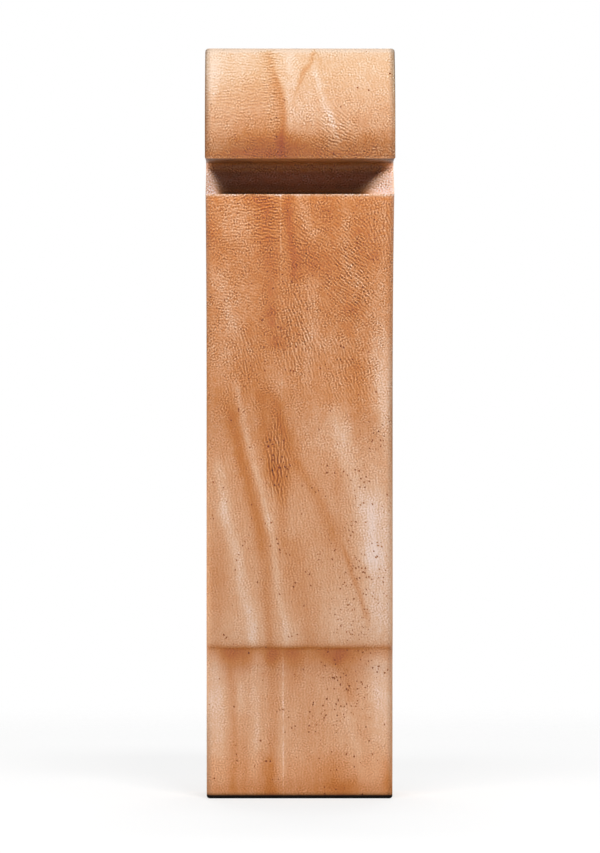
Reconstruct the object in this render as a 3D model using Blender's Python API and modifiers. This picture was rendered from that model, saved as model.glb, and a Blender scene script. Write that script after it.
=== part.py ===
"""A solid wooden bracket: a rounded head over a deep notch, a front that sweeps back, and a stepped foot.

It is sawn from one blank to its side outline, and its edges are eased. Units are metres, +Z is up, and the front
faces -Y. The origin is on the floor, under the middle of the bracket's box.
"""

import math

import bmesh
import bpy
from mathutils import Matrix, Vector

# The blank
WIDTH = 0.0889
DEPTH = 0.1397
HEIGHT = 0.3556

# The head, whose front is part of a round nose
HEAD_HEIGHT = 0.0524
NOSE_RADIUS = 0.0508
NOSE_DROP = 0.0413  # from the top down to the nose's foremost line

# The notch under the head: a level ceiling, a round end and a ramp that falls forward to the lip
NOTCH_MOUTH = 0.0159  # height of its mouth, from the head's underside to the lip
NOTCH_REACH = 0.0508  # from the nose's foremost line back to the notch's end
NOTCH_END_RADIUS = 0.0024

# The body, upright below and swept forward above
BODY_DEPTH = 0.0714
SWEEP_RADIUS = 0.1334
SWEEP_START = 0.1900  # height where the upright front begins to sweep forward
HEEL_RADIUS = 0.0030  # the body's rounded lower end
HEEL_TURN = math.radians(60)

# The foot, set back by a shallow cove under the body's lower end
COVE_HEIGHT = 0.0197
COVE_TURN = math.radians(20)
FOOT_HEIGHT = 0.0717  # up to the crease between the cove and the body's lower end
FOOT_TUCK = 0.0018  # how far the foot's front draws in at the floor
FOOT_TUCK_HEIGHT = 0.0220

# Eased edges, each as a share of the largest
EASE = 0.0020
EASE_STEPS = 3
SIDE_EASE = 0.70
TOP_FRONT_EASE = 0.95
NOSE_EASE = 0.70
LIP_EASE = 0.35
FLOOR_FRONT_EASE = 1.00
BACK_EASE = 0.50

# An arc's steps turn no more, and are no longer, than these
ARC_STEP_TURN = math.radians(12)
ARC_STEP_LENGTH = 0.0025
SAME_PLACE = 1e-5
FLAT_ANGLE = math.radians(0.1)

WOOD_COLOUR = (0.62, 0.31, 0.15, 1.0)
WOOD_ROUGHNESS = 0.45


def clear_scene():
    for old in list(bpy.data.objects):
        bpy.data.objects.remove(old, do_unlink=True)


def new_collection(name):
    collection = bpy.data.collections.new(name)
    bpy.context.scene.collection.children.link(collection)
    return collection


def wood():
    """The bare wood, under a thin satin oil."""
    material = bpy.data.materials.new("wood")
    material.use_nodes = True
    shader = material.node_tree.nodes["Principled BSDF"]
    shader.inputs["Base Color"].default_value = WOOD_COLOUR
    shader.inputs["Roughness"].default_value = WOOD_ROUGHNESS
    shader.inputs["Metallic"].default_value = 0.0
    material.diffuse_color = WOOD_COLOUR
    return material


def arc(centre, radius, start, end):
    """Points along a circle, from one angle to another, both ends included. Angles turn from forward to up."""
    turn = abs(end - start)
    steps = math.ceil(max(turn / ARC_STEP_TURN, turn * radius / ARC_STEP_LENGTH))
    angles = [start + (end - start) * i / steps for i in range(steps + 1)]
    return [centre + radius * Vector((math.cos(a), math.sin(a))) for a in angles]


def foot_depth():
    """The foot's front, behind the body's by the cove and by what the heel turns under."""
    cove = COVE_HEIGHT * math.tan(COVE_TURN / 2)
    heel = HEEL_RADIUS * (1 - math.cos(HEEL_TURN))
    return BODY_DEPTH - heel - cove


def foot_front():
    """Up the foot's front: drawn in at the floor, upright, then forward in the cove to the crease."""
    front = foot_depth()
    tuck_turn = 2 * math.atan2(FOOT_TUCK, FOOT_TUCK_HEIGHT)
    tuck_radius = FOOT_TUCK_HEIGHT / math.sin(tuck_turn)
    tuck_centre = Vector((front - tuck_radius, FOOT_TUCK_HEIGHT))
    cove_radius = COVE_HEIGHT / math.sin(COVE_TURN)
    cove_centre = Vector((front + cove_radius, FOOT_HEIGHT - COVE_HEIGHT))
    tuck = arc(tuck_centre, tuck_radius, -tuck_turn, 0)
    cove = arc(cove_centre, cove_radius, math.pi, math.pi - COVE_TURN)
    return tuck + cove


def lip_point():
    """The sharp edge where the swept front meets the notch's ramp."""
    height = HEIGHT - HEAD_HEIGHT - NOTCH_MOUTH
    turn = math.asin((height - SWEEP_START) / SWEEP_RADIUS)
    return Vector((BODY_DEPTH + SWEEP_RADIUS * (1 - math.cos(turn)), height))


def body_front():
    """Up the body's front: the rounded lower end, the upright and the sweep, whose last point is the lip."""
    heel_centre = Vector((BODY_DEPTH - HEEL_RADIUS, FOOT_HEIGHT + HEEL_RADIUS * math.sin(HEEL_TURN)))
    sweep_centre = Vector((BODY_DEPTH + SWEEP_RADIUS, SWEEP_START))
    sweep_turn = math.asin((lip_point().y - SWEEP_START) / SWEEP_RADIUS)
    heel = arc(heel_centre, HEEL_RADIUS, -HEEL_TURN, 0)[1:]
    sweep = arc(sweep_centre, SWEEP_RADIUS, math.pi, math.pi - sweep_turn)
    return heel + sweep


def notch():
    """From the lip up the ramp, round the notch's end and onto its ceiling, which is the head's underside."""
    ceiling = HEIGHT - HEAD_HEIGHT
    centre = Vector((DEPTH - NOTCH_REACH + NOTCH_END_RADIUS, ceiling - NOTCH_END_RADIUS))
    to_lip = lip_point() - centre
    towards_lip = math.atan2(to_lip.y, to_lip.x)
    # The ramp touches the round end where the end's radius is square to it
    ramp_touch = towards_lip - math.acos(NOTCH_END_RADIUS / to_lip.length)
    return arc(centre, NOTCH_END_RADIUS, ramp_touch, math.radians(-270))


def nose():
    """Up the head's front, from its lower edge to the top."""
    centre = Vector((DEPTH - NOSE_RADIUS, HEIGHT - NOSE_DROP))
    low = -math.asin((HEAD_HEIGHT - NOSE_DROP) / NOSE_RADIUS)
    high = math.asin(NOSE_DROP / NOSE_RADIUS)
    return arc(centre, NOSE_RADIUS, low, high)


def outline():
    """The side outline as (points, {corner's index: its ease}). A point is (distance out from the wall, height)."""
    runs = [
        ([Vector((0.0, 0.0))], BACK_EASE, None),
        (foot_front(), FLOOR_FRONT_EASE, None),
        (body_front(), None, LIP_EASE),
        (notch(), None, None),
        (nose(), NOSE_EASE, TOP_FRONT_EASE),
        ([Vector((0.0, HEIGHT))], BACK_EASE, None),
    ]
    points = []
    eased = {}
    for run, first_ease, last_ease in runs:
        if first_ease:
            eased[len(points)] = first_ease
        points += run
        if last_ease:
            eased[len(points) - 1] = last_ease
    return points, eased


def outline_curve(points):
    """The outline as a flat closed curve, filled and as thick as the bracket is wide."""
    curve = bpy.data.curves.new("bracket_outline", "CURVE")
    curve.dimensions = "2D"
    curve.fill_mode = "BOTH"
    curve.extrude = WIDTH / 2
    spline = curve.splines.new("POLY")
    spline.points.add(len(points) - 1)
    for target, point in zip(spline.points, points):
        target.co = (point.x, point.y, 0.0, 1.0)
    spline.use_cyclic_u = True
    return curve


def standing():
    """Turns the flat outline upright: out from the wall becomes -Y, up becomes +Z, and the wall is at DEPTH / 2."""
    turn = Matrix(((0, 0, -1), (-1, 0, 0), (0, 1, 0))).to_4x4()
    return Matrix.Translation((0, DEPTH / 2, 0)) @ turn


def mesh_from_curve(curve, place, collection):
    """The curve as a welded mesh in world space."""
    source = bpy.data.objects.new("outline", curve)
    source.matrix_world = place
    collection.objects.link(source)
    bpy.context.view_layer.update()
    graph = bpy.context.evaluated_depsgraph_get()
    mesh = bpy.data.meshes.new_from_object(source.evaluated_get(graph))
    mesh.transform(source.matrix_world)
    bpy.data.objects.remove(source)
    bpy.data.curves.remove(curve)
    bm = bmesh.new()
    bm.from_mesh(mesh)
    bmesh.ops.remove_doubles(bm, verts=bm.verts, dist=SAME_PLACE)
    bmesh.ops.dissolve_limit(bm, angle_limit=FLAT_ANGLE, verts=bm.verts, edges=bm.edges)
    bmesh.ops.recalc_face_normals(bm, faces=bm.faces)
    bm.to_mesh(mesh)
    bm.free()
    return mesh


def weigh_edges(mesh, points, eased):
    """Gives each edge its share of the ease: the named corners across the bracket, and all of both side outlines."""
    corners = {index: Vector((DEPTH / 2 - points[index].x, points[index].y)) for index in eased}
    bm = bmesh.new()
    bm.from_mesh(mesh)
    weight = bm.edges.layers.float.new("bevel_weight_edge")
    for edge in bm.edges:
        start, end = (vertex.co for vertex in edge.verts)
        if abs(start.x - end.x) < SAME_PLACE:
            edge[weight] = SIDE_EASE
            continue
        for index, corner in corners.items():
            if (start.yz - corner).length < SAME_PLACE:
                edge[weight] = eased[index]
    bm.to_mesh(mesh)
    bm.free()


def add_bracket(collection):
    points, eased = outline()
    mesh = mesh_from_curve(outline_curve(points), standing(), collection)
    mesh.name = "bracket"
    weigh_edges(mesh, points, eased)
    mesh.materials.append(wood())
    bracket = bpy.data.objects.new("bracket", mesh)
    collection.objects.link(bracket)
    bevel = bracket.modifiers.new("eased edges", "BEVEL")
    bevel.limit_method = "WEIGHT"
    bevel.width = EASE
    bevel.segments = EASE_STEPS
    bevel.use_clamp_overlap = False
    mesh.shade_smooth()
    mesh.set_sharp_from_angle(angle=math.radians(30))
    return bracket


def main():
    clear_scene()
    add_bracket(new_collection("wooden_bracket"))


main()
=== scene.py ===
"""The looks of a solid wooden bracket: its fine surface, its figured wood, a pale floor and soft light.

Units are metres, +Z is up and the front faces -Y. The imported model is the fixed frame.
"""

import math

import bpy
import numpy as np
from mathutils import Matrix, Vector, noise


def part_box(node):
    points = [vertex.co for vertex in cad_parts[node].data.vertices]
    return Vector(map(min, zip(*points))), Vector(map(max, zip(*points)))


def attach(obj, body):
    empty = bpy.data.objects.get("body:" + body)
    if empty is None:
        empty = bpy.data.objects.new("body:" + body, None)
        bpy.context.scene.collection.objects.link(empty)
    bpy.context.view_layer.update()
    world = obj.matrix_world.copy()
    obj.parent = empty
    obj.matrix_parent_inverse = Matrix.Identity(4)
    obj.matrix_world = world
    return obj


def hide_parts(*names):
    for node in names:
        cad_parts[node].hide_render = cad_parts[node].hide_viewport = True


MM = 0.001

# The head, whose front is part of a round nose
HEAD_HEIGHT = 0.0526
NOSE_RADIUS = 0.0508
NOSE_DROP = 0.0413  # from the top down to the nose's foremost line

# The notch under the head
NOTCH_MOUTH = 0.01575
NOTCH_REACH = 0.0508
NOTCH_END_RADIUS = 0.0024

# The body, upright below and swept forward above
BODY_DEPTH = 0.0714
SWEEP_RADIUS = 0.1334
SWEEP_START = 0.1900
HEEL_RADIUS = 0.0030
HEEL_TURN = math.radians(60)

# The foot, set back by a shallow cove
COVE_HEIGHT = 0.0197
COVE_TURN = math.radians(20)
FOOT_HEIGHT = 0.0717
FOOT_TUCK = 0.0018
FOOT_TUCK_HEIGHT = 0.0220

# How far each corner of the outline is rounded, back from the corner along both its sides
BACK_ROUND = 0.0010
FLOOR_FRONT_ROUND = 0.0020
CREASE_ROUND = 0.0004
LIP_ROUND = 0.0007
NOSE_LOW_ROUND = 0.0005
TOP_FRONT_ROUND = 0.0019

# Radius of the rounding along the two side outlines
FRONT_ARRIS = 0.0014
BASE_ARRIS = 0.0020
TOP_ARRIS = 0.0019
NOTCH_ARRIS = 0.0010
BACK_ARRIS = 0.0010
ARRIS_SHARE = 0.8  # of the outline's own radius where it turns a corner
ARRIS_GROWTH = 0.3  # how fast the radius may grow away from a corner
ARRIS_STEPS = 5
LEAST_CURVATURE = 1.0  # per metre, below which the outline counts as straight
SUPPORT = 0.15  # how far inside the arris the flat side's outer loop lies, as a share of it

# Mesh spacing
DENSE_STEP = 0.0001
SHOWN_STEP = 0.0009
NOTCH_STEP = 0.0011
TOP_STEP = 0.0020
BACK_STEP = 0.0045
CORNER_STEP = 0.0003
CORNER_POINTS = 24  # along a rounded corner, both ends included, before it is spaced like that
ACROSS_STEP = 0.00092

# Hand-sanded unevenness of the faces, always inwards
WAVE_DEPTH = 0.00010
WAVE_LENGTH = 0.028

# Marks on the front. Their places are in millimetres, across from the middle and up from the floor. A depth
# of colour below 0 is pale, and one above 0 is dark.

# A streak is (depth, half width, its line from top to bottom)
STREAKS = [
    # Head
    (0.26, 2.3, [(-15, 356), (-13.5, 347), (-11.5, 340), (-10, 333), (-8.8, 326), (-8.2, 318),
                 (-7.8, 306)]),
    (0.17, 0.8, [(-12.4, 344), (-9.6, 338), (-7.6, 329), (-7.4, 320), (-8.2, 312), (-8.8, 306)]),
    (-0.12, 1.3, [(-12.4, 352), (-10.4, 344), (-7.6, 338), (-5.2, 329), (-5, 320), (-5.6, 312)]),
    (0.28, 0.9, [(7.4, 356), (5.2, 350), (1.8, 344.4), (0.2, 341)]),
    (0.16, 0.7, [(1.4, 343), (-0.5, 338), (-2.3, 333), (-3.1, 327)]),
    (0.13, 1.0, [(8.4, 352), (10.0, 347)]),
    (-0.21, 1.6, [(5.5, 347), (7.8, 341), (9.8, 334), (12, 328), (14.5, 321), (16.5, 314), (18, 309)]),
    (-0.15, 2.6, [(-5, 354), (-4.5, 345), (-3.5, 335), (-3, 325), (-3, 318)]),
    (-0.12, 3.5, [(3, 337), (4, 329), (5, 318)]),
    # Body, upper part
    (0.24, 3.4, [(-18, 289), (-16, 280), (-15, 270), (-14.5, 262), (-13.8, 254), (-14, 245),
                 (-14, 236), (-13.8, 228)]),
    (0.20, 2.6, [(-13.8, 234), (-12.5, 226), (-10.5, 220), (-9, 214)]),
    (0.38, 2.2, [(-5, 290), (-5.8, 281), (-5, 272), (-3.6, 264), (-2.4, 257), (-2, 249)]),
    (-0.26, 2.4, [(0, 289), (2, 280), (4.4, 273), (6.6, 266)]),
    (0.13, 2.8, [(-3.6, 252), (-4.4, 244), (-5, 236)]),
    (-0.14, 2.4, [(5, 250), (6, 240), (6, 230), (5.5, 220)]),
    (-0.14, 1.9, [(21, 286), (21.5, 270), (22, 256)]),
    (-0.24, 2.0, [(22, 257), (25, 251), (27, 245)]),
    (-0.24, 3.4, [(-40, 252), (-36, 243), (-34, 235), (-32, 228), (-30, 220)]),
    (-0.10, 2.2, [(39, 284), (39.5, 270), (39, 256), (40, 242)]),
    # Body, where the grain leans
    (-0.24, 1.4, [(-30.5, 200), (-28, 188), (-25.6, 176), (-22.6, 164), (-19.6, 152), (-17, 141),
                  (-14.6, 130)]),
    (-0.15, 1.5, [(-15, 133), (-13, 124), (-11.6, 112), (-10, 99), (-8.4, 88), (-6.4, 72)]),
    (-0.24, 2.6, [(-39, 162), (-37.5, 150), (-35.5, 138), (-33, 128), (-30, 116), (-27.4, 104),
                  (-24.8, 92), (-23, 82), (-22, 72)]),
    (0.38, 2.7, [(-33.4, 187), (-32, 178), (-29.2, 168), (-26.6, 158), (-23.8, 147), (-21, 137),
                 (-18.4, 126), (-17.4, 118)]),
    (0.26, 2.4, [(-17.4, 118), (-16.2, 108), (-15.2, 94), (-13.4, 72)]),
    (0.26, 3.0, [(-18, 198), (-17.4, 186), (-16.6, 174), (-15, 162), (-13, 152)]),
    (0.30, 2.6, [(-12.4, 196), (-10, 184), (-6, 174), (-4, 166), (-1.6, 157)]),
    (0.20, 2.0, [(-9.8, 150), (-8.4, 140), (-8.4, 130), (-7.2, 120)]),
    (0.20, 3.2, [(0.4, 160), (4.6, 151), (9, 143), (13, 135), (16, 127), (17.4, 117)]),
    (0.20, 5.4, [(-3, 124), (-2, 110), (0, 98), (3, 86), (4.5, 72)]),
    (-0.24, 4.4, [(18, 186), (20, 174), (22, 164), (25.5, 152), (30, 140), (32, 128), (34, 112)]),
    (0.12, 1.6, [(17, 165), (17.8, 156), (18.6, 146)]),
    (0.30, 1.0, [(21, 120), (24.5, 110), (27, 103), (29.2, 96), (31.4, 90), (33, 84)]),
    # Foot
    (0.22, 1.7, [(-32.6, 66), (-32.2, 55), (-31.8, 42), (-31.4, 30), (-31.8, 18), (-31.8, 0)]),
    (-0.14, 2.2, [(-21.4, 72), (-21.4, 55), (-21, 38), (-20.5, 24)]),
    (0.16, 2.4, [(-13, 70), (-12.4, 55), (-12, 42), (-12.6, 28), (-14, 18), (-14.2, 0)]),
    (-0.07, 1.4, [(-8.4, 62), (-8.2, 44), (-8.0, 26), (-7.8, 8)]),
    (0.24, 3.2, [(18.6, 70), (21, 63), (23.6, 56), (24.4, 48)]),
    (-0.10, 2.2, [(21.5, 42), (24, 32), (27, 22), (29, 12)]),
]
STREAK_FADE = 7.0  # over which a streak fades at both its ends

# A patch is (depth, middle, half sizes)
PATCHES = [
    # Head
    (-0.22, (-41, 342), (4, 12)),
    (-0.08, (-30, 345), (8, 8)),
    (-0.06, (32, 335), (12, 9)),
    (0.10, (-20, 333), (8, 8)),
    (0.20, (-20, 319), (9, 5)),
    (0.57, (-18, 308), (14, 6)),
    (0.08, (-10, 309), (3, 6)),
    (0.33, (4, 307), (11, 6)),
    (0.25, (27, 308), (9, 6)),
    (0.15, (38, 309), (9, 7)),
    (0.14, (27, 321), (3, 2.5)),
    # painted light: a paler band along the right of the head's lower edge
    (-0.16, (37, 304.5), (13, 2.5)),
    (-0.10, (14, 323), (4, 5)),
    # Body, upper part
    (0.34, (-21.5, 286), (4.5, 3.5)),
    (0.16, (-42, 270), (3.5, 6)),
    (-0.26, (-31, 275), (7.5, 9)),
    (-0.12, (-25.5, 264), (3, 6)),
    (0.12, (13.5, 281), (5, 9)),
    (0.14, (3, 259), (5, 8)),
    (0.19, (12, 255), (10, 5)),
    (0.18, (-28, 288), (11, 2.5)),
    (0.16, (6, 288), (9, 3)),
    (0.14, (-14.5, 282), (3, 5)),
    (0.12, (29, 270), (4.5, 6)),
    (0.14, (33, 257), (5, 5)),
    (0.10, (37, 261), (2.5, 3)),
    (0.12, (-25, 224), (3, 5)),
    (0.12, (-10, 219), (4.0, 4.0)),
    (0.14, (-17, 222), (4, 8)),
    (0.14, (-5, 224), (5, 6)),
    (0.10, (15, 239), (6, 8)),
    (0.20, (24.5, 233), (3.5, 2.6)),
    (0.12, (26, 237), (4, 6)),
    (0.18, (22, 225), (3.4, 4)),
    (-0.12, (9, 217.5), (10, 3.5)),
    (-0.16, (4, 206), (2.2, 7)),
    (-0.14, (-10, 199), (3.0, 6)),
    (0.16, (-24, 204), (6, 10)),
    (0.16, (28, 206), (5, 9)),
    (-0.44, (39.5, 205), (5.5, 17)),
    (-0.14, (38, 234), (4, 14)),
    (-0.10, (31, 213), (3, 5)),
    (-0.14, (-36, 212), (5, 9)),
    (-0.12, (-27, 240), (2.5, 9)),
    (-0.08, (-34, 255), (7, 5)),
    (-0.10, (-26, 213), (3, 3)),
    # Body, middle
    (0.12, (-36, 189), (7, 5)),
    (0.30, (-11, 170), (4.6, 13)),
    (0.40, (-9, 153), (5, 8)),
    (0.10, (27, 188), (4.5, 10)),
    (-0.30, (41, 182), (3.5, 14)),
    (-0.12, (9, 176), (8, 10)),
    (-0.12, (21, 171), (7, 9)),
    (-0.14, (37, 160), (8, 10)),
    (-0.14, (34, 143), (8, 9)),
    (-0.28, (38.5, 130), (6.5, 17)),
    (-0.14, (-37, 138), (3.5, 5)),
    # Body, lower part
    (0.14, (-40, 112), (4.5, 14)),
    (0.14, (-39, 92), (3.4, 16)),
    (-0.12, (21, 88), (8, 13)),
    (-0.13, (-3, 78), (4.4, 6)),
    (-0.28, (38, 98), (6.5, 20)),
    (0.08, (11, 128), (7, 6)),
    # Foot
    (-0.22, (-39.5, 40), (4.6, 20)),
    (-0.20, (-42, 67), (4, 7)),
    (-0.13, (38, 66), (7, 6)),
    (-0.14, (-29, 50), (3.6, 8)),
    (0.09, (0, 52), (7, 8)),
    (-0.12, (-21.5, 16), (2.4, 10)),
    (0.34, (-33.5, 70), (4.0, 5)),
    (0.30, (-27, 69), (4, 6)),
    (0.36, (-13, 69), (3.0, 6)),
    (0.36, (-4, 69), (5, 5)),
    (0.14, (-3, 61), (4, 5)),
    (0.42, (17.5, 69.5), (7, 5)),
    (0.10, (8, 66), (8, 5)),
    (0.10, (28, 64), (4, 6)),
    (-0.16, (39, 42), (4.6, 20)),
    (-0.15, (38, 58), (7, 14)),
    (-0.08, (-42, 53), (5, 8)),
    (0.18, (44, 8), (3, 7)),
    (0.10, (6, 34), (6, 10)),
    (0.10, (-26, 16), (4, 12)),
    (0.14, (0, 3), (46, 6)),
    (0.20, (15, 12), (9, 9)),
    (0.24, (21, 4), (6, 5)),
    (0.20, (-15, 14), (4, 7)),
    (0.20, (-14, 2), (4, 4)),
    (0.13, (42.5, 7), (3, 10)),
]

# How a streak or a patch fades away from its middle
MARK_FALL = 0.7
PATCH_EDGE = 1.3  # above 1, a patch keeps more of its strength inside and ends sooner

# How the marks wander, as (size, length across, length up, seed)
FRAYING = (0.15, 2.2, 16, 3.3)
BROAD_SWAY = (1.0, 5, 16, 1.7)
NARROW_SWAY = (0.25, 1.8, 7, 5.1)
UPWARD_SWAY = (2.5, 6, 12, 9.3)

# How deep the colour is on the whole, as (height, depth). The deeper bottom edge is painted shade, the pale
# line at the lip a painted highlight, and the paler head top partly the wood's tone, partly a painted sheen.
PROFILE = [
    (0, 0.70),
    (1.2, 0.60),
    (1.7, 0.20),
    (2.5, -0.11),
    (4, -0.08),
    (5, -0.06),
    (8, -0.11),
    (16, -0.12),
    (24, -0.20),
    (50, -0.22),
    (58, -0.15),
    (63, -0.10),
    (66, -0.03),
    (69, 0.09),
    (71.2, 0.20),
    (72.2, 0.23),
    (72.6, 0.20),
    (73.1, 0.10),
    (73.8, -0.05),
    (75, -0.20),
    (77, -0.26),
    (84, -0.26),
    (96, -0.21),
    (130, -0.17),
    (160, -0.08),
    (185, 0.02),
    (205, 0.11),
    (225, 0.13),
    (245, 0.19),
    (262, 0.26),
    (280, 0.26),
    (285, 0.24),
    (286.2, 0.06),
    (286.9, -0.45),
    (302.9, 0.16),
    (303.9, 0.12),
    (304.4, 0.30),
    (305.5, 0.21),
    (308, 0.04),
    (313, -0.05),
    (318, -0.16),
    (330, -0.26),
    (343, -0.42),
    (350, -0.48),
    (353, -0.54),
    (354.5, -0.78),
    (356, -0.85),
]

# Painted shade on the front, as (height, darkening): along the bottom edge, in the crease, under the head
# and elsewhere. Below 0 it is painted light.
SHADING = [
    (0.0, 0.99),
    (1.5, 0.97),
    (1.75, 0.73),
    (2.0, 0.37),
    (2.5, 0.08),
    (3.0, 0.04),
    (3.9, -0.04),
    (4.8, -0.01),
    (8, -0.01),
    (13, -0.015),
    (22, 0.075),
    (32, 0.115),
    (51, 0.135),
    (56, 0.16),
    (60, 0.2),
    (63, 0.25),
    (66, 0.23),
    (69, 0.27),
    (70.8, 0.275),
    (71.6, 0.32),
    (72.2, 0.395),
    (73.0, 0.35),
    (73.8, 0.28),
    (75.2, 0.275),
    (77, 0.26),
    (85, 0.235),
    (104, 0.23),
    (122, 0.215),
    (142, 0.20),
    (161, 0.17),
    (180, 0.175),
    (190, 0.135),
    (200, 0.115),
    (219, 0.145),
    (239, 0.15),
    (250, 0.155),
    (266, 0.16),
    (272, 0.135),
    (279, 0.145),
    (283, 0.115),
    (284.5, 0.08),
    (285.4, 0.05),
    (285.9, 0.11),
    (286.4, 0.155),
    (286.8, 0.23),
    (287.1, -0.06),
    (302.9, 0.00),
    (303.4, 0.36),
    (303.9, 0.37),
    (304.4, 0.365),
    (304.9, 0.215),
    (306.7, 0.275),
    (309, 0.245),
    (313, 0.145),
    (317, 0.09),
    (325, 0.08),
    (335, 0.10),
    (350, 0.125),
    (353, 0.13),
    (354.5, 0.20),
    (356, 0.22),
]

# Painted shade along the front's two edges, as (height, at the left one, at the right one). Below 0 it is
# a painted highlight.
RIM_SHADING = [
    (0, 0.40, 0.50),
    (30, 0.30, 0.50),
    (47, 0.00, 0.50),
    (94, -0.35, 0.35),
    (150, -0.10, 0.50),
    (190, 0.10, 0.65),
    (240, 0.20, 0.45),
    (287, 0.30, 0.40),
    (303, 0.35, 0.45),
    (321, 0.60, 0.55),
    (343, 0.45, 0.80),
    (356, 0.45, 0.80),
]
RIM_WIDTH = 2.8

# The crease over the foot. Marks placed above it end there, and so do the ones placed below it.
CREASE_HEIGHT = 72.3

# The lip and the notch's ceiling
LIP_HEIGHT = 287.25
HEAD_FLOOR = 303.0
SAME_HEIGHT = 0.1  # how far below it a point still counts as on it

# Painted shade in the notch, as (height, depth of colour, darkening). The values below for its two ends and
# its ceiling are painted shade too.
NOTCH_SHADING = [
    (287.3, 0.40, 0.94),
    (287.9, 0.25, 0.90),
    (288.9, 0.08, 0.69),
    (290.4, -0.18, 0.67),
    (292.5, -0.28, 0.45),
    (294.5, -0.34, 0.25),
    (296.6, -0.34, 0.16),
    (298.6, -0.14, 0.17),
    (300.5, 0.46, 0.39),
    (301.4, 0.60, 0.36),
    (302.9, 0.12, 0.40),
]
NOTCH_ASIDE = 0.32  # more darkening towards its two ends
ASIDE_HEIGHTS = (291, 296)  # between which that sets in, going up
CEILING_DEPTH = 0.45
CEILING_SHADING = (0.72, 0.16)  # at its front and at its back
CEILING_FADE = 1.6  # above 1, the first reaches further back
CEILING_ASIDE = 0.68  # like NOTCH_ASIDE

# Painted light on wedges at the notch's two ends, where light comes in from the sides. Their inner edges are
# (x at the lip, x at the ceiling).
WEDGE_LIGHT = (-0.54, -0.27)  # depth and darkening
WEDGE_LEFT = (-38, -44)
WEDGE_RIGHT = (31, 44)
WEDGE_SOFT = (5.0, 9.0)  # widths of the left and the right inner edge

# How strong the fine relief is on the front, as (height, strength)
FINENESS = [
    (0, 0.42),
    (140, 0.38),
    (190, 0.80),
    (230, 1.05),
    (303, 1.10),
    (318, 0.80),
    (334, 0.50),
    (356, 0.46),
]

# Ripples in the grain, as (turn, strength, middle, half sizes). A turn of 0 is upright, and 90 is level.
FIGURE = [
    (90, 1.1, (-13, 335), (5, 26)),
    (90, 0.6, (-30, 325), (15, 30)),
    (90, 0.9, (30, 300), (18, 10)),
    (90, 1.6, (-15, 278), (8, 20)),
    (90, 1.0, (-32, 274), (15, 20)),
    (75, 0.8, (-30, 238), (14, 20)),
    (60, 1.7, (17, 312), (9, 12)),
    (50, 1.7, (25, 252), (11, 24)),
    (60, 1.2, (2, 266), (12, 16)),
    (20, 0.3, (22, 332), (24, 24)),
    (10, 1.2, (38, 272), (8, 14)),
    (15, 1.5, (0, 224), (12, 24)),
    (15, 1.0, (-26, 212), (10, 20)),
    (20, 1.0, (24, 208), (14, 22)),
    (8, 1.9, (-10.5, 161), (5.5, 20)),
    (8, 0.4, (0, 130), (50, 60)),
    (0, 0.22, (0, 50), (50, 60)),
]
TURN_POWER = 3  # how far the strongest ripples decide the turn where some overlap
UPRIGHT_SHARE = 0.001  # the weight of upright ones everywhere

# Where there are more pores, as (strength, middle, half sizes)
SPECKS = [
    (0.80, (25, 46), (16, 26)),
    (0.80, (26, 105), (17, 40)),
    (0.55, (-10, 165), (6, 18)),
    (0.55, (33, 165), (11, 24)),
    (0.25, (-10, 110), (30, 40)),
    (0.20, (-8, 30), (34, 30)),
    (0.22, (0, 195), (45, 35)),
    (0.25, (5, 262), (45, 34)),
]

# Pores that stand alone, as (across, up, radius)
LONE_PORES = [
    (-15, 168.5, 0.75),
    (-13, 157, 0.55),
    (-12, 150, 0.6),
    (13, 156, 0.6),
    (21, 156.5, 0.5),
    (-11, 322, 0.5),
    (-11, 313, 0.5),
    (42, 343, 0.6),
    (32, 335, 0.5),
    (-16, 18, 0.6),
    (-14, 18, 0.5),
]

# What the front's marks keep on the arris, where the surface turns away to the sides
ARRIS_KEEPS = 0.25

# End grain shows on level faces, where the normal's upward part is above this
LEVEL_FROM = 0.875

# The share of the hidden sides' rings and streaks that the notch lacks
NOTCH_PLAIN = 0.8

# The straight glue line between the two boards: two heights, and its places across there
SEAM = (0.0, 356.0, -7.8, -9.2)
SEAM_UPPER = (235.0, 275.0)  # heights between which it comes out clear
SEAM_LOWER = (80.0, 60.0)  # and again on the foot
SEAM_END = (303.0, 288.0)  # between the head and the body it ends
SEAM_EDGE = (0.45, 0.10)  # half widths at which it starts and is full
SEAM_FAINT = 0.15
SEAM_ON_FOOT = 0.45
SEAM_DEPTH = 0.42  # how much paler it is

# Camera: straight on, level with the middle of the bracket
CAMERA_DISTANCE = 2.847  # from the nose
CAMERA_HEIGHT = 0.1780
CAMERA_ASIDE = -0.0100
CAMERA_TURN = math.radians(-0.2)  # back towards the bracket
CAMERA_SIGHT = 60.0  # how far it sees
LENS = 257.80
SENSOR = 36.0

# Lights: (name, what it lights, azimuth, elevation, distance, size, power, colour). Azimuth 0 is in front,
# and it turns to the right.
AIM = (0.0, 0.0, 0.18)
WHITE = (1.0, 1.0, 1.0)
GOLDEN = (1.0, 0.97, 0.74)
SOFTBOXES = [
    ("front", "bracket", 0, 30, 1.3, (1.4, 0.3), 8.05, WHITE),
    ("right", "bracket", 84, 45, 2.0, (0.5, 0.5), 34, GOLDEN),
    ("left", "bracket", -84, 62, 2.0, (0.5, 0.5), 18, GOLDEN),
    ("floor_top", "floor", 0, 87, 3.0, (1.3, 1.3), 38, WHITE),
    ("floor_back", "floor", 180, 54, 2.6, (1.1, 1.1), 41, WHITE),
    ("floor_key", "floor", 12, 48, 2.2, (0.4, 0.4), 32, WHITE),
    ("floor_fill", "floor", -14, 50, 2.2, (0.6, 0.6), 26, WHITE),
]

# How strong the white all round is, for the camera and as light
WORLD_SEEN = 1.0
WORLD_LIGHT = 0.05

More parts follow.
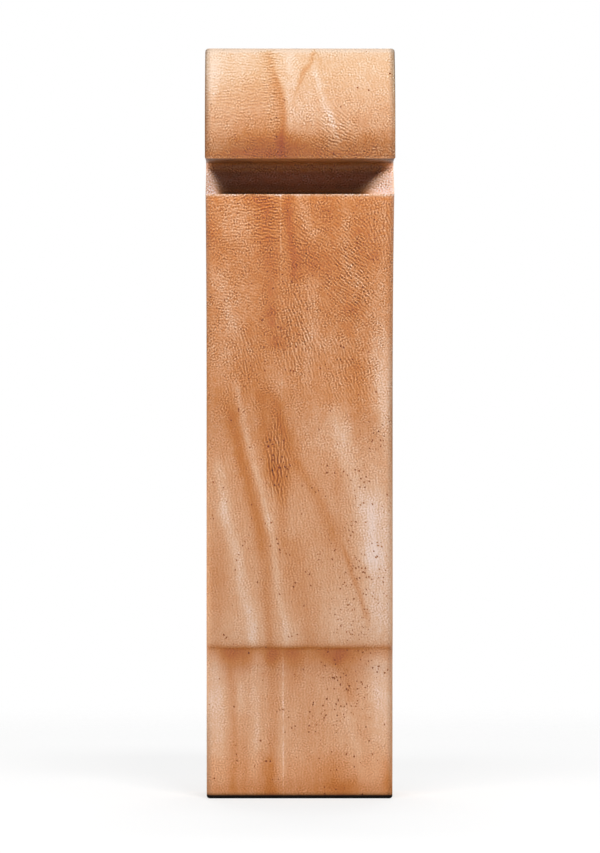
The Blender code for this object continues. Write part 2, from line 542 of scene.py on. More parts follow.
# Floor. Its distances are from the place under the middle of the bracket's box.
FLOOR_RADIUS = 3.0
FLOOR_SIDES = 96
FLOOR_FADE = (0.5, 1.0)  # distances between which it fades away
FLOOR_COLOUR = (0.95, 0.95, 0.95, 1.0)  # as the bracket meets it
FLOOR_SEEN = (0.605, 0.605, 0.605, 1.0)  # as the camera sees it
FLOOR_GLOW = 0.64  # share of plain white in what the camera sees
# painted shadow: the floor near the bracket goes black in the bracket's reflections, darkening its bottom
# edge
FLOOR_REFLECTED_SHADOW = (0.09, 0.06)  # distances between which it goes black in the bracket's own shine

# Wood: its colour at a depth of 1, and what one more degree of depth multiplies that by
WOOD = (0.600, 0.256, 0.104)
STAIN = (0.61, 0.26, 0.083)
SHALLOWEST = 0.32  # least depth

# Two depths, and the shares of its blue that the wood keeps at them
DEEP_BLUE = (0.90, 1.45, 1.0, 0.52)
NOTCH_BLUE = 0.25  # more of it in the notch

# Noise in the wood, as (lengths of its grains across, through and up, detail, two of its levels, its values
# there, roughness if not 0.5). On the rings the lengths are across them, round them and up.
NARROW_STREAKS = ((2.0, 2.0, 30), 1.0, (0.30, 0.70), (-0.02, 0.02))
FINE_GRAIN = ((0.55, 0.55, 0.7), 1.0, (0.25, 0.75), (-0.07, 0.07))
MOTTLE = ((2.4, 2.4, 3.2), 1.0, (0.28, 0.72), (-0.08, 0.08))
BROAD_STREAKS = ((3.4, 16, 110), 3.0, (0.32, 0.68), (-0.13, 0.13), 0.6)
CLOUDS = ((20, 20, 42), 2.0, (0.34, 0.66), (-0.11, 0.11))
SKIN_STRENGTH = ((5, 5, 7), 1.0, (0.30, 0.70), (0.35, 1.45))
PORE_CLUSTERS = ((6, 6, 10), 1.0, (0.35, 0.65), (0.6, 1.4))
PORE_EDGES = ((0.5, 0.5, 0.8), 1.0, (0.30, 0.70), (-0.35, 0.35))
SEAM_BREAKS = ((40, 40, 3.0), 1.0, (0.30, 0.60), (0.3, 1.0))
ROUGHNESS = ((8, 8, 40), 2.0, (0.30, 0.70), (0.38, 0.50))
FINE_EVERYWHERE = 0.8  # how much of the fine grain stays where the front is smooth

# Fibres
LEAN = (90.0, 215.0, 21.0, 0.0)  # two heights, and how far to the right the fibres have moved there
FIBRE_WANDER = ((60, 60, 90), 1.0)
FIBRE_SWAY = 9.0

# Growth rings on the hidden sides. The tree's middle is to the right of the bracket's and behind it.
PITH = (35.0, 130.0, 0.0)
ROUND_SCALE = 150.0  # millimetres round it for one radian
RING_WIDTH = 3.6
RING_BENDS = ((9, 24, 120), 2.0)
RING_SWAY = 14.0
LATE_WOOD = (0.1, 1.0, 0.0, 0.12)  # two levels of a ring's wave, and the depths of colour there
END_GRAIN_DEPTH = 0.04
HIDDEN_DEPTH = -0.14

# Pores
PORE_CELL = (1.4, 1.4, 1.8)
PORE_SHARE = 0.90  # of the cells, for each degree of specks
PORE_SHARE_ELSEWHERE = 0.02
PORE_REACH = (0.3, 1.0, 0.12, 0.35)  # two random sizes, and the radii there, as shares of a cell
PORE_CORE = 0.3  # share of its radius where a pore is darkest
LONE_PORE_CORE = 0.4
PORE_DEPTH = 1.40
PORE_SHADE = 0.42
PORE_HOLLOW = 1.5  # as a share of the fine relief's height

# Fine relief: how far apart its waves are, and what it does to height, depth of colour and darkening. The
# darkening is painted shade in its hollows and painted light on its ridges.
SKIN_APART = 1.30
RIPPLES_APART = 1.47
RIPPLES_EVEN = 0.9
WAVES_TOGETHER = 1.6
WAVE_LEVELS = (0.25, 0.75)  # levels of the waves' noise that become -1 and 1
RELIEF_HEIGHT = 0.00011
RELIEF_DEPTH = 0.17
RELIEF_SHADE = 0.20

# The relief lies as on a side, or as on a level face, where that part of the face's normal is above these
RELIEF_SIDE = 0.75
RELIEF_LEVEL = 0.92

# Two levels of painted shade, and how much rougher the wood is at them
DULL_SHADE = (0.82, 0.95, 0.0, 0.5)


def arc(centre, radius, start, end):
    """Points along a circle, both ends included. Angles turn from forward to up."""
    steps = max(2, math.ceil(abs(end - start) * radius / DENSE_STEP))
    angles = np.linspace(start, end, steps + 1)
    return np.array(centre) + radius * np.column_stack((np.cos(angles), np.sin(angles)))


def straight(start, end):
    """Points along a straight line, both ends included."""
    steps = max(2, math.ceil(math.dist(start, end) / DENSE_STEP))
    return np.linspace(start, end, steps + 1)


def foot_front():
    """Up the foot's front: drawn in at the floor, upright, then forward in the cove to the crease."""
    cove_depth = COVE_HEIGHT * math.tan(COVE_TURN / 2)
    front = BODY_DEPTH - HEEL_RADIUS * (1 - math.cos(HEEL_TURN)) - cove_depth
    tuck_turn = 2 * math.atan2(FOOT_TUCK, FOOT_TUCK_HEIGHT)
    tuck_radius = FOOT_TUCK_HEIGHT / math.sin(tuck_turn)
    tuck = arc((front - tuck_radius, FOOT_TUCK_HEIGHT), tuck_radius, -tuck_turn, 0)
    upright = straight((front, FOOT_TUCK_HEIGHT), (front, FOOT_HEIGHT - COVE_HEIGHT))
    cove_radius = COVE_HEIGHT / math.sin(COVE_TURN)
    cove_centre = (front + cove_radius, FOOT_HEIGHT - COVE_HEIGHT)
    cove = arc(cove_centre, cove_radius, math.pi, math.pi - COVE_TURN)
    return np.concatenate((tuck, upright[1:], cove[1:]))


def body_front(lip_height):
    """Up the body's front: the rounded heel, the upright and the sweep, whose last point is the lip."""
    heel_centre = (BODY_DEPTH - HEEL_RADIUS, FOOT_HEIGHT + HEEL_RADIUS * math.sin(HEEL_TURN))
    sweep_turn = math.asin((lip_height - SWEEP_START) / SWEEP_RADIUS)
    heel = arc(heel_centre, HEEL_RADIUS, -HEEL_TURN, 0)
    upright = straight((BODY_DEPTH, heel_centre[1]), (BODY_DEPTH, SWEEP_START))
    sweep = arc((BODY_DEPTH + SWEEP_RADIUS, SWEEP_START), SWEEP_RADIUS, math.pi, math.pi - sweep_turn)
    return np.concatenate((heel, upright[1:], sweep[1:]))


def notch(lip, mouth_edge, depth):
    """From the lip up the ramp, round the notch's end and out along its level ceiling."""
    centre = np.array((depth - NOTCH_REACH + NOTCH_END_RADIUS, mouth_edge[1] - NOTCH_END_RADIUS))
    to_lip = lip - centre
    towards_lip = math.atan2(to_lip[1], to_lip[0])
    # The ramp touches the round end where the end's radius is square to it
    ramp_touch = towards_lip - math.acos(NOTCH_END_RADIUS / math.hypot(*to_lip))
    end = arc(centre, NOTCH_END_RADIUS, ramp_touch, math.radians(-270))
    return np.concatenate((straight(lip, end[0]), end[1:], straight(end[-1], mouth_edge)[1:]))


def side_outline(depth, height):
    """The outline's runs in order: (name, points, how far the last corner is rounded, its share of that).

    A point is (distance out from the wall, height).
    """
    foot = foot_front()
    body = body_front(height - HEAD_HEIGHT - NOTCH_MOUTH)
    nose_centre = (depth - NOSE_RADIUS, height - NOSE_DROP)
    nose_low = -math.asin((HEAD_HEIGHT - NOSE_DROP) / NOSE_RADIUS)
    nose = arc(nose_centre, NOSE_RADIUS, nose_low, math.asin(NOSE_DROP / NOSE_RADIUS))
    return [
        ("base", straight((0, 0), foot[0]), FLOOR_FRONT_ROUND, 0.2),
        ("foot", foot, CREASE_ROUND, 0.5),
        ("body", body, LIP_ROUND, 0.8),
        ("notch", notch(body[-1], nose[0], depth), NOSE_LOW_ROUND, 0.2),
        ("nose", nose, TOP_FRONT_ROUND, 0.7),
        ("top", straight(nose[-1], (0, height)), BACK_ROUND, 0.5),
        ("back", straight((0, height), (0, 0)), BACK_ROUND, 0.5),
    ]


def lengths_along(points):
    """How far along the line each of its points is."""
    return np.concatenate(([0.0], np.cumsum(np.linalg.norm(np.diff(points, axis=0), axis=1))))


def rounded_outline(runs):
    """The runs joined in a loop with rounded corners: points, names and whether each is on a rounding."""
    points, names, on_corner = [], [], []
    cuts = [run[2] for run in runs]
    for index, (name, run, cut, share) in enumerate(runs):
        along = lengths_along(run)
        kept = run[(along >= cuts[index - 1]) & (along <= along[-1] - cut)]
        next_name, following = runs[(index + 1) % len(runs)][:2]
        start = kept[-1]
        corner = run[-1]
        end = following[lengths_along(following) >= cut][0]
        t = np.linspace(0, 1, CORNER_POINTS)[1:-1, None]
        bend = (1 - t) ** 2 * start + 2 * t * (1 - t) * corner + t**2 * end
        points += [kept, bend]
        own = round(share * len(bend))
        names += [name] * (len(kept) + own) + [next_name] * (len(bend) - own)
        on_corner += [False] * len(kept) + [True] * len(bend)
    return np.concatenate(points), np.array(names), np.array(on_corner)


def unit(vectors):
    return vectors / np.linalg.norm(vectors, axis=1)[:, None]


def resampled(points, names, on_corner):
    """The loop at the mesh's spacing: points, normals, names, lengths along it, whole length, curvature."""
    steps = {"base": TOP_STEP, "top": TOP_STEP, "back": BACK_STEP, "notch": NOTCH_STEP}
    wanted = np.array([steps.get(name, SHOWN_STEP) for name in names])
    wanted[on_corner] = CORNER_STEP
    closed = np.vstack((points, points[:1]))
    along = lengths_along(closed)
    share = np.concatenate(([0.0], np.cumsum(np.diff(along) / wanted)))
    count = round(share[-1])
    at = np.interp(np.arange(count) * share[-1] / count, share, along)
    columns = np.column_stack([np.interp(at, along, closed[:, axis]) for axis in (0, 1)])
    nearest = np.clip(np.searchsorted(along, at), 0, len(points) - 1)
    ahead = unit(np.roll(columns, -1, axis=0) - columns)
    behind = unit(columns - np.roll(columns, 1, axis=0))
    tangent = unit(ahead + behind)
    outward = np.column_stack((tangent[:, 1], -tangent[:, 0]))
    cross = behind[:, 0] * ahead[:, 1] - behind[:, 1] * ahead[:, 0]
    turning = np.arctan2(cross, (behind * ahead).sum(1))
    step = 0.5 * (np.diff(at, append=along[-1] + at[0]) + np.diff(at, prepend=at[-1] - along[-1]))
    return columns, outward, names[nearest], at, along[-1], turning / step


def arris_radii(names, at, total, curvature):
    """The side rounding at each point of the outline, smaller where the outline turns a tight corner."""
    own = {"base": BASE_ARRIS, "top": TOP_ARRIS, "notch": NOTCH_ARRIS, "back": BACK_ARRIS}
    wanted = np.array([own.get(name, FRONT_ARRIS) for name in names])
    tight = ARRIS_SHARE / np.maximum(curvature, LEAST_CURVATURE)
    limit = np.minimum(wanted, tight)
    apart = np.abs(at[:, None] - at[None, :])
    apart = np.minimum(apart, total - apart)
    return (limit[None, :] + ARRIS_GROWTH * apart).min(1)


def wave(points):
    """Slow unevenness from 0 to 1 at each point."""
    values = [noise.noise(Vector(point) / WAVE_LENGTH) for point in points]
    return np.clip(0.5 + 0.5 * np.array(values), 0, 1)


def stations(width):
    """For each line of points: (share of the flat between the arrises, angle of the arris)."""
    flat = round(width / ACROSS_STEP)
    turns = np.linspace(math.pi / 2, 0, ARRIS_STEPS + 1)[:-1]
    rows = [(-1.0, turn) for turn in turns]
    rows += [(share, 0.0) for share in np.linspace(-1, 1, flat + 1)]
    rows += [(1.0, turn) for turn in turns[::-1]]
    return rows


def surface_places(columns, outward, radii, rows, width, wall):
    """The surface's points, line by line across it, with the flat sides' own loops first and last."""
    lines = []
    for share, turn in [(-1.0, None), *rows, (1.0, None)]:
        inset = radii * (1 + SUPPORT) if turn is None else radii * (1 - math.cos(turn))
        beyond = radii if turn is None else radii * math.sin(turn)
        line = columns - outward * inset[:, None]
        across = share * (width / 2 - radii + beyond)
        lines.append(np.column_stack((across, wall - line[:, 0], line[:, 1])))
    return np.concatenate(lines)


def surface_faces(count, lines):
    """The faces between neighbouring lines of so many points, and one face for each flat side."""
    near = np.arange(count)
    far = np.roll(near, -1)
    faces = []
    for line in range(lines - 1):
        first, second = line * count, (line + 1) * count
        faces += np.column_stack((first + near, first + far, second + far, second + near)).tolist()
    last = (lines - 1) * count
    faces.append(near[::-1].tolist())
    faces.append((last + near).tolist())
    return faces


def add_bracket_mesh(low, high):
    """The bracket's fine surface, as lines of points along the side outline joined across the width."""
    width, depth, height = high - low
    outline = rounded_outline(side_outline(depth, height))
    columns, outward, names, at, total, curvature = resampled(*outline)
    radii = arris_radii(names, at, total, curvature)
    rows = stations(width)
    places = surface_places(columns, outward, radii, rows, width, high.y)
    count = len(columns)
    lines = len(rows) + 2
    facing = np.repeat([0.0] + [math.cos(turn) for _, turn in rows] + [0.0], count)
    normals = np.tile(np.column_stack((np.zeros(count), -outward[:, 0], outward[:, 1])), (lines, 1))
    resting = np.tile((names == "base") | (names == "back"), lines)
    depth_in = WAVE_DEPTH * wave(places) * facing * ~resting
    places -= normals * depth_in[:, None]
    mesh = bpy.data.meshes.new("wooden_bracket")
    mesh.from_pydata(places.tolist(), [], surface_faces(count, lines))
    mesh.shade_smooth()
    on_side = np.repeat([True] + [False] * len(rows) + [True], count)
    on_front = np.tile((names == "foot") | (names == "body") | (names == "nose"), lines) & ~on_side
    upward = np.abs(outward[:, 1])
    level = (names != "notch") * np.clip((upward - LEVEL_FROM) / (1 - LEVEL_FROM), 0, 1)
    kept = ARRIS_KEEPS + (1 - ARRIS_KEEPS) * facing
    front = on_front * kept
    in_notch = np.tile(names == "notch", lines) * kept * ~on_side
    store_field(mesh, "front", front)
    store_field(mesh, "hidden", 1 - front - NOTCH_PLAIN * in_notch)
    store_field(mesh, "ends", np.tile(level, lines) * facing)
    for name, values in placed_fields(places, on_front, front, in_notch).items():
        store_field(mesh, name, values)
    bracket = bpy.data.objects.new("wooden_bracket", mesh)
    bpy.context.scene.collection.objects.link(bracket)
    return bracket


def near_line(x, z, half_width, line):
    """How close each point is to a streak's line, from 1 on it to 0, fading at both its ends."""
    line_x, line_z = np.array(line[::-1], float).T
    across = (x - np.interp(z, line_z, line_x)) / half_width
    below = np.clip((z - line_z[0]) / STREAK_FADE + 0.5, 0, 1)
    above = np.clip((line_z[-1] - z) / STREAK_FADE + 0.5, 0, 1)
    return np.exp(-MARK_FALL * across**2) * below * above


def near_patch(x, z, middle, half_sizes):
    """How close each point is to a patch's middle, from 1 on it to 0."""
    away = ((x - middle[0]) / half_sizes[0]) ** 2 + ((z - middle[1]) / half_sizes[1]) ** 2
    return np.exp(-MARK_FALL * away**PATCH_EDGE)


def wandering(x, z, size, length_x, length_z, seed):
    """Smooth noise from about -size to size, longer up the grain than across it."""
    draws = [noise.noise(Vector((a / length_x, b / length_z, seed))) for a, b in zip(x, z)]
    return size * np.array(draws)


def notch_fields(x, y, z):
    """Depth of colour and painted shade in the notch, with painted light at both ends, where light comes in
    from the sides.
    """
    on_ceiling = z > HEAD_FLOOR - SAME_HEIGHT
    span = (LIP_HEIGHT, HEAD_FLOOR)
    to_left = (x - np.interp(z, span, WEDGE_LEFT)) / WEDGE_SOFT[0]
    to_right = (np.interp(z, span, WEDGE_RIGHT) - x) / WEDGE_SOFT[1]
    inside = np.clip(np.minimum(to_left, to_right) + 0.5, 0, 1)
    inside = np.where(on_ceiling, 1, inside * inside * (3 - 2 * inside))
    heights, depths, darkenings = zip(*NOTCH_SHADING)
    depth = np.where(on_ceiling, CEILING_DEPTH, np.interp(z, heights, depths))
    front_dim, back_dim = CEILING_SHADING
    back = np.clip((y - y.min()) / (NOTCH_REACH / MM), 0, 1)
    ceiling_dim = front_dim + (back_dim - front_dim) * back**CEILING_FADE
    dim = np.where(on_ceiling, ceiling_dim, np.interp(z, heights, darkenings))
    raised = np.interp(z, ASIDE_HEIGHTS, (0, 1))
    aside = np.where(on_ceiling, CEILING_ASIDE, NOTCH_ASIDE) * (x / x.max()) ** 2 * raised
    dim = 1 - (1 - dim) * (1 - aside)
    wedge_depth, wedge_dim = WEDGE_LIGHT
    return wedge_depth + (depth - wedge_depth) * inside, wedge_dim + (dim - wedge_dim) * inside


def front_shade(x, z):
    """Painted shade on the front by height, and more of it along its two edges."""
    heights, left, right = zip(*RIM_SHADING)
    rim = np.where(x < 0, np.interp(z, heights, left), np.interp(z, heights, right))
    rim = rim * np.clip(1 - (np.abs(x).max() - np.abs(x)) / RIM_WIDTH, 0, 1)
    return 1 - (1 - np.interp(z, *zip(*SHADING))) * (1 - rim)


def placed_marks(x, z, below_crease):
    """The depth of colour that all streaks and patches add, each on its own side of the crease."""
    total = 0.0
    for depth, half_width, line in STREAKS:
        same_side = below_crease == (line[0][1] < CREASE_HEIGHT)
        total = total + depth * near_line(x, z, half_width, line) * same_side
    for depth, middle, half_sizes in PATCHES:
        same_side = below_crease == (middle[1] < CREASE_HEIGHT)
        total = total + depth * near_patch(x, z, middle, half_sizes) * same_side
    return total


def placed_ripples(x, z):
    """How strong the figure's ripples are at each point, and how far they turn there."""
    ripple, turn, shares = 0.0, 0.0, UPRIGHT_SHARE
    for degrees, strength, middle, half_sizes in FIGURE:
        near = strength * near_patch(x, z, middle, half_sizes)
        share = near**TURN_POWER
        ripple = np.maximum(ripple, near)
        turn = turn + math.radians(degrees) * share
        shares = shares + share
    return ripple, turn / shares


def placed_fields(places, on_front, front, in_notch):
    """The placed depth of colour and painted shade at each point, and how strong each kind of mark is there.
    """
    x, y, z = places.T / MM
    frayed = 1 + wandering(x, z, *FRAYING)
    whole = np.interp(z, *zip(*PROFILE))
    shade = on_front * front_shade(x, z)
    fineness = 1 + on_front * (np.interp(z, *zip(*FINENESS)) - 1)
    notch_depth, notch_dim = notch_fields(x, y, z)
    below_crease = z < CREASE_HEIGHT
    x = x + wandering(x, z, *BROAD_SWAY) + wandering(x, z, *NARROW_SWAY)
    z = z + wandering(x, z, *UPWARD_SWAY)
    ripple, turn = placed_ripples(x, z)
    specks = sum(strength * near_patch(x, z, *placing) for strength, *placing in SPECKS)
    return {
        "depth": front * (placed_marks(x, z, below_crease) * frayed + whole) + in_notch * notch_depth,
        "shade": shade + in_notch * notch_dim,
        "fineness": fineness,
        "ripple": front * ripple,
        "turn": turn,
        "specks": front * specks,
    }


def store_field(mesh, name, values):
    """Keeps one number for each point, which the wood reads by its name."""
    layer = mesh.attributes.new(name, "FLOAT", "POINT")
    layer.data.foreach_set("value", values.astype(np.float32))


def add_camera(front):
    """The camera, in front of the foremost line of the head."""
    data = bpy.data.cameras.new("camera")
    data.lens = LENS
    data.sensor_width = SENSOR
    data.clip_end = CAMERA_SIGHT
    camera = bpy.data.objects.new("camera", data)
    camera.location = (CAMERA_ASIDE, front - CAMERA_DISTANCE, CAMERA_HEIGHT)
    camera.rotation_euler = (math.radians(90), 0, CAMERA_TURN)
    bpy.context.scene.collection.objects.link(camera)
    bpy.context.scene.camera = camera


def add_softbox(name, azimuth, elevation, distance, size, power, colour):
    """An area light aimed at the bracket."""
    data = bpy.data.lights.new(name, "AREA")
    data.shape = "RECTANGLE"
    data.size, data.size_y = size
    data.energy = power
    data.color = colour
    light = bpy.data.objects.new(name, data)
    turn, rise = math.radians(azimuth), math.radians(elevation)
    towards = Vector((math.sin(turn) * math.cos(rise), -math.cos(turn) * math.cos(rise), math.sin(rise)))
    light.location = Vector(AIM) + distance * towards
    light.rotation_euler = towards.to_track_quat("Z", "Y").to_euler()
    bpy.context.scene.collection.objects.link(light)
    return light


def add_lights(bracket, floor):
    """The softboxes, each of which lights only the bracket or only the floor."""
    for name, lit, *placing in SOFTBOXES:
        light = add_softbox(name, *placing)
        receivers = bpy.data.collections.new("lit by " + name)
        receivers.objects.link(bracket if lit == "bracket" else floor)
        light.light_linking.receiver_collection = receivers


def add_node(tree, kind, inputs=None, **settings):
    """A node with its settings, and its inputs set to values or linked to other nodes' outputs."""
    made = tree.nodes.new(kind)
    for name, value in settings.items():
        setattr(made, name, value)
    for key, value in (inputs or {}).items():
        if isinstance(value, bpy.types.NodeSocket):
            tree.links.new(value, made.inputs[key])
        else:
            made.inputs[key].default_value = value
    return made


def field(tree, name):
    """What store_field keeps under this name."""
    return add_node(tree, "ShaderNodeAttribute", attribute_name=name).outputs["Fac"]


def maths(tree, operation, *values):
    return add_node(tree, "ShaderNodeMath", dict(enumerate(values)), operation=operation).outputs[0]


def times(tree, first, second):
    return maths(tree, "MULTIPLY", first, second)


def minus(tree, first, second):
    return maths(tree, "SUBTRACT", first, second)


def larger(tree, first, second):
    return maths(tree, "MAXIMUM", first, second)


def plus(tree, *values):
    total = values[0]
    for value in values[1:]:
        total = maths(tree, "ADD", total, value)
    return total


def vector_maths(tree, operation, *vectors):
    return add_node(tree, "ShaderNodeVectorMath", dict(enumerate(vectors)), operation=operation).outputs


def scaled(tree, vector, value):
    """The vector or colour multiplied by a value."""
    return add_node(tree, "ShaderNodeVectorMath", {0: vector, "Scale": value}, operation="SCALE").outputs[0]


def divided(tree, vector, lengths):
    """The vector's three parts, each divided by its own length."""
    return vector_maths(tree, "MULTIPLY", vector, tuple(1 / length for length in lengths))[0]


def parts(tree, vector):
    return add_node(tree, "ShaderNodeSeparateXYZ", {0: vector}).outputs


def joined(tree, x, y, z):
    return add_node(tree, "ShaderNodeCombineXYZ", {0: x, 1: y, 2: z}).outputs[0]


def mixed(tree, share, first, second):
    return add_node(tree, "ShaderNodeMix", {0: share, 2: first, 3: second}).outputs[0]


def ramp(tree, value, low, high, to_low=0.0, to_high=1.0):
    """A smooth step of a value between two levels."""
    levels = {"Value": value, "From Min": low, "From Max": high, "To Min": to_low, "To Max": to_high}
    return add_node(tree, "ShaderNodeMapRange", levels, interpolation_type="SMOOTHSTEP").outputs["Result"]


def noise_of(tree, place, lengths, detail, roughness=0.5):
    """Noise from 0 to 1 whose grains have these lengths in millimetres."""
    scaled_place = divided(tree, place, lengths)
    inputs = {"Vector": scaled_place, "Scale": 1.0, "Detail": detail, "Roughness": roughness}
    return add_node(tree, "ShaderNodeTexNoise", inputs).outputs["Fac"]


def spread(tree, place, lengths, detail, levels, values, roughness=0.5):
    """Noise that runs from one value to the other between two of its levels."""
    return ramp(tree, noise_of(tree, place, lengths, detail, roughness), *levels, *values)


def grain_place(tree, place):
    """The place with its fibres straightened: low on the body they lean, and they wander everywhere."""
    x, y, z = parts(tree, place)
    drift = ramp(tree, z, *LEAN)
    wander = times(tree, noise_of(tree, place, *FIBRE_WANDER), FIBRE_SWAY)
    across = minus(tree, minus(tree, x, drift), wander)
    return joined(tree, across, plus(tree, y, wander), z)


def ring_place(tree, grain):
    """The same place as (distance from the tree's middle, distance round it, height)."""
    x, y, z = parts(tree, vector_maths(tree, "SUBTRACT", grain, PITH)[0])
    radius = maths(tree, "SQRT", plus(tree, times(tree, x, x), times(tree, y, y)))
    around = times(tree, maths(tree, "ARCTAN2", x, times(tree, y, -1.0)), ROUND_SCALE)
    return joined(tree, radius, around, z)


def hidden_depth(tree, place, rings, ends):
    """Depth of colour away from the front: growth rings, broad streaks and clouds, and darker end grain."""
    broad = spread(tree, rings, *BROAD_STREAKS)
    cloud = spread(tree, place, *CLOUDS)
    bent = times(tree, noise_of(tree, rings, *RING_BENDS), RING_SWAY)
    radius = parts(tree, rings)[0]
    year = maths(tree, "SINE", times(tree, plus(tree, radius, bent), 2 * math.pi / RING_WIDTH))
    late = ramp(tree, year, *LATE_WOOD)
    return plus(tree, broad, cloud, late, times(tree, ends, END_GRAIN_DEPTH), HIDDEN_DEPTH)


def face_place(tree, place):
    """The place on the face, as (across, up). Sides and level faces use their own two directions."""
    x, y, z = parts(tree, place)
    normal = add_node(tree, "ShaderNodeNewGeometry").outputs["Normal"]
    normal_x, _, normal_z = parts(tree, normal)
    on_side = maths(tree, "GREATER_THAN", maths(tree, "ABSOLUTE", normal_x), RELIEF_SIDE)
    on_level = maths(tree, "GREATER_THAN", maths(tree, "ABSOLUTE", normal_z), RELIEF_LEVEL)
    across = mixed(tree, on_side, x, y)
    up = mixed(tree, on_level, z, y)
    return joined(tree, across, up, 0.0)


def even_waves(tree, place, apart, evenness, turn=0.0):
    """Waves this many millimetres apart, from -1 to 1. Evenness is 1 where all run the same way."""
    inputs = {0: place, 1: 1 / (WAVES_TOGETHER * apart), 2: WAVES_TOGETHER, 3: evenness, 4: turn}
    value = add_node(tree, "ShaderNodeTexGabor", inputs).outputs["Value"]
    return ramp(tree, value, *WAVE_LEVELS, -1.0, 1.0)


def ripples(tree, place):
    """Fine relief: a fine skin everywhere, and the figure's ripples where they are placed."""
    flat = face_place(tree, place)
    strength = times(tree, field(tree, "fineness"), spread(tree, place, *SKIN_STRENGTH))
    skin = times(tree, even_waves(tree, flat, SKIN_APART, 0.0), strength)
    figure = even_waves(tree, flat, RIPPLES_APART, RIPPLES_EVEN, field(tree, "turn"))
    return plus(tree, skin, times(tree, figure, field(tree, "ripple")))


def scattered_pores(tree, place, grain):
    """Pores in cells of the grain, more where specks are placed. Each is 1 in its middle and 0 outside."""
    cell = {"Vector": divided(tree, grain, PORE_CELL), "Scale": 1.0, "Randomness": 1.0}
    speck = add_node(tree, "ShaderNodeTexVoronoi", cell)
    chance, size, _ = add_node(tree, "ShaderNodeSeparateColor", {0: speck.outputs["Color"]}).outputs
    wanted = plus(tree, times(tree, field(tree, "specks"), PORE_SHARE), PORE_SHARE_ELSEWHERE)
    wanted = times(tree, wanted, spread(tree, grain, *PORE_CLUSTERS))
    there = maths(tree, "LESS_THAN", chance, wanted)
    reach = ramp(tree, size, *PORE_REACH)
    uneven = plus(tree, 1.0, spread(tree, place, *PORE_EDGES))
    away = times(tree, speck.outputs["Distance"], uneven)
    return times(tree, ramp(tree, away, reach, times(tree, reach, PORE_CORE)), there)


def lone_pores(tree, place):
    """The pores that stand alone, each 1 in its middle and 0 outside."""
    x, _, z = parts(tree, place)
    flat = joined(tree, x, 0.0, z)
    found = 0.0
    for across, up, radius in LONE_PORES:
        away = vector_maths(tree, "DISTANCE", flat, (across, 0, up))["Value"]
        found = larger(tree, ramp(tree, away, radius, LONE_PORE_CORE * radius), found)
    return found


def pores(tree, place, grain):
    """Dark specks, a little longer up the grain than across it."""
    alone = times(tree, lone_pores(tree, place), field(tree, "front"))
    return larger(tree, scattered_pores(tree, place, grain), alone)


def seam(tree, place):
    """The glue line on the front: clear at the top of the body, faint below, less so on the foot."""
    x, _, z = parts(tree, place)
    away = maths(tree, "ABSOLUTE", minus(tree, x, ramp(tree, z, *SEAM)))
    foot = times(tree, ramp(tree, z, *SEAM_LOWER), SEAM_ON_FOOT)
    clear = plus(tree, SEAM_FAINT, larger(tree, ramp(tree, z, *SEAM_UPPER), foot))
    clear = times(tree, clear, ramp(tree, z, *SEAM_END))
    clear = times(tree, clear, spread(tree, place, *SEAM_BREAKS))
    return times(tree, times(tree, ramp(tree, away, *SEAM_EDGE), clear), field(tree, "front"))


def colour_depth(tree, place, grain, relief, specks):
    """The depth of colour that the wood's stain is raised to: 1, changed by all of its marks."""
    rings = ring_place(tree, grain)
    fineness = field(tree, "fineness")
    fine = spread(tree, place, *FINE_GRAIN)
    depth = plus(
        tree,
        1.0,
        times(tree, specks, PORE_DEPTH),
        field(tree, "depth"),
        times(tree, field(tree, "hidden"), hidden_depth(tree, place, rings, field(tree, "ends"))),
        spread(tree, grain, *NARROW_STREAKS),
        times(tree, fine, plus(tree, FINE_EVERYWHERE, times(tree, fineness, fineness))),
        times(tree, spread(tree, place, *MOTTLE), fineness),
        times(tree, relief, -RELIEF_DEPTH),
        times(tree, seam(tree, place), -SEAM_DEPTH),
    )
    return larger(tree, depth, SHALLOWEST)


def stained(tree, depth):
    """The wood's colour at this depth, with less blue in its deepest tones and more of it in the notch."""
    colour = add_node(tree, "ShaderNodeGamma", {"Color": (*STAIN, 1.0), "Gamma": depth}).outputs[0]
    bare = tuple(mean / stain for mean, stain in zip(WOOD, STAIN))
    colour = vector_maths(tree, "MULTIPLY", colour, bare)[0]
    blue = ramp(tree, depth, *DEEP_BLUE)
    in_notch = minus(tree, 1.0, plus(tree, field(tree, "front"), field(tree, "hidden")))
    blue = times(tree, blue, plus(tree, 1.0, times(tree, in_notch, NOTCH_BLUE)))
    return vector_maths(tree, "MULTIPLY", colour, joined(tree, 1.0, 1.0, blue))[0]


def wood_material():
    """Figured, oiled wood: placed marks on the front, rings and streaks elsewhere, fine relief, pores, and
    painted light and shade.
    """
    material = bpy.data.materials.new("wood")
    material.use_nodes = True
    tree = material.node_tree
    shader = tree.nodes["Principled BSDF"]
    place = scaled(tree, add_node(tree, "ShaderNodeTexCoord").outputs["Object"], 1 / MM)
    grain = grain_place(tree, place)
    relief = ripples(tree, place)
    specks = pores(tree, place, grain)
    colour = stained(tree, colour_depth(tree, place, grain, relief, specks))
    # painted light and shade from the fine relief and the stored shade, with the pores' own darkness
    light = plus(tree, 1.0, times(tree, relief, RELIEF_SHADE), times(tree, specks, -PORE_SHADE))
    light = times(tree, light, minus(tree, 1.0, field(tree, "shade")))
    tree.links.new(scaled(tree, colour, light), shader.inputs["Base Color"])
    height = minus(tree, relief, times(tree, specks, PORE_HOLLOW))
    bumps = {"Strength": 1.0, "Distance": RELIEF_HEIGHT, "Height": height}
    tree.links.new(add_node(tree, "ShaderNodeBump", bumps).outputs[0], shader.inputs["Normal"])
    dull = ramp(tree, field(tree, "shade"), *DULL_SHADE)
    tree.links.new(plus(tree, spread(tree, grain, *ROUGHNESS), dull), shader.inputs["Roughness"])
    return material


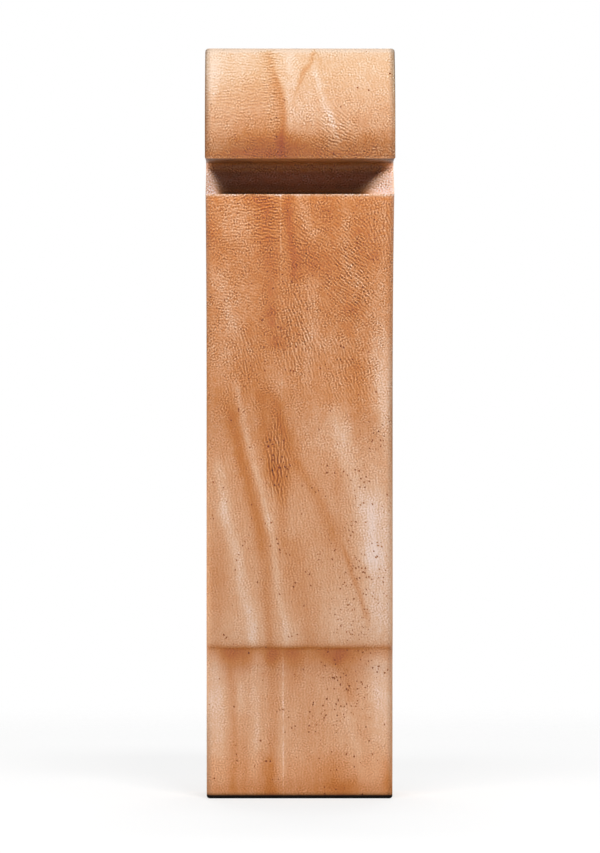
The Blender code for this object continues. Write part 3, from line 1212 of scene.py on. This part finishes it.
def add_world():
    """White behind everything that the camera sees, and dim in the light that it gives."""
    world = bpy.data.worlds.new("studio")
    world.use_nodes = True
    tree = world.node_tree
    seen = add_node(tree, "ShaderNodeLightPath").outputs["Is Camera Ray"]
    levels = {"Value": seen, "To Min": WORLD_LIGHT, "To Max": WORLD_SEEN}
    strength = add_node(tree, "ShaderNodeMapRange", levels).outputs["Result"]
    background = tree.nodes["Background"]
    tree.links.new(strength, background.inputs["Strength"])
    background.inputs["Color"].default_value = (1, 1, 1, 1)
    bpy.context.scene.world = world


def floor_material():
    """Pale paper, partly plain white to the camera, that fades away far from the bracket, and near it goes
    black in the bracket's reflections as a painted shadow.
    """
    material = bpy.data.materials.new("floor")
    material.use_nodes = True
    tree = material.node_tree
    tree.nodes.remove(tree.nodes["Principled BSDF"])
    place = add_node(tree, "ShaderNodeTexCoord").outputs["Object"]
    away = vector_maths(tree, "LENGTH", place)["Value"]
    rays = add_node(tree, "ShaderNodeLightPath").outputs
    seen = rays["Is Camera Ray"]
    shown = {0: seen, 6: FLOOR_COLOUR, 7: FLOOR_SEEN}
    colour = add_node(tree, "ShaderNodeMix", shown, data_type="RGBA").outputs[2]
    # painted shadow: near the bracket the floor is black in the bracket's reflections
    painted_shadow = times(tree, rays["Is Glossy Ray"], ramp(tree, away, *FLOOR_REFLECTED_SHADOW))
    colour = scaled(tree, colour, minus(tree, 1.0, painted_shadow))
    paper = add_node(tree, "ShaderNodeBsdfDiffuse", {"Color": colour}).outputs[0]
    white = add_node(tree, "ShaderNodeEmission", {"Strength": 1.0}).outputs[0]
    clear = add_node(tree, "ShaderNodeBsdfTransparent").outputs[0]
    glow = times(tree, seen, FLOOR_GLOW)
    gone = times(tree, seen, ramp(tree, away, *FLOOR_FADE))
    lifted = add_node(tree, "ShaderNodeMixShader", {0: glow, 1: paper, 2: white}).outputs[0]
    fading = add_node(tree, "ShaderNodeMixShader", {0: gone, 1: lifted, 2: clear}).outputs[0]
    tree.links.new(fading, tree.nodes["Material Output"].inputs["Surface"])
    return material


def add_floor():
    """A pale disc that fades into the white behind it."""
    bpy.ops.mesh.primitive_circle_add(vertices=FLOOR_SIDES, radius=FLOOR_RADIUS, fill_type="NGON")
    floor = bpy.context.object
    floor.name = "floor"
    floor.data.materials.append(floor_material())
    return floor


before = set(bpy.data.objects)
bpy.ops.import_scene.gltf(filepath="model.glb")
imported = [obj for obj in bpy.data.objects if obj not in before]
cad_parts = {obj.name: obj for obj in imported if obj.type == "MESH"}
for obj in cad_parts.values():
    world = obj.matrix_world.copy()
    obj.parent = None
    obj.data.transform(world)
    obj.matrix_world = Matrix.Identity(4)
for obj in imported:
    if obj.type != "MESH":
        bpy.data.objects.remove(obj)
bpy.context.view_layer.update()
low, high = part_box("bracket")

bracket = add_bracket_mesh(low, high)
bracket.data.materials.append(wood_material())
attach(bracket, "root")
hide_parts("bracket")

add_camera(low.y)
add_lights(bracket, add_floor())
add_world()
bpy.context.scene.view_settings.view_transform = "Standard"
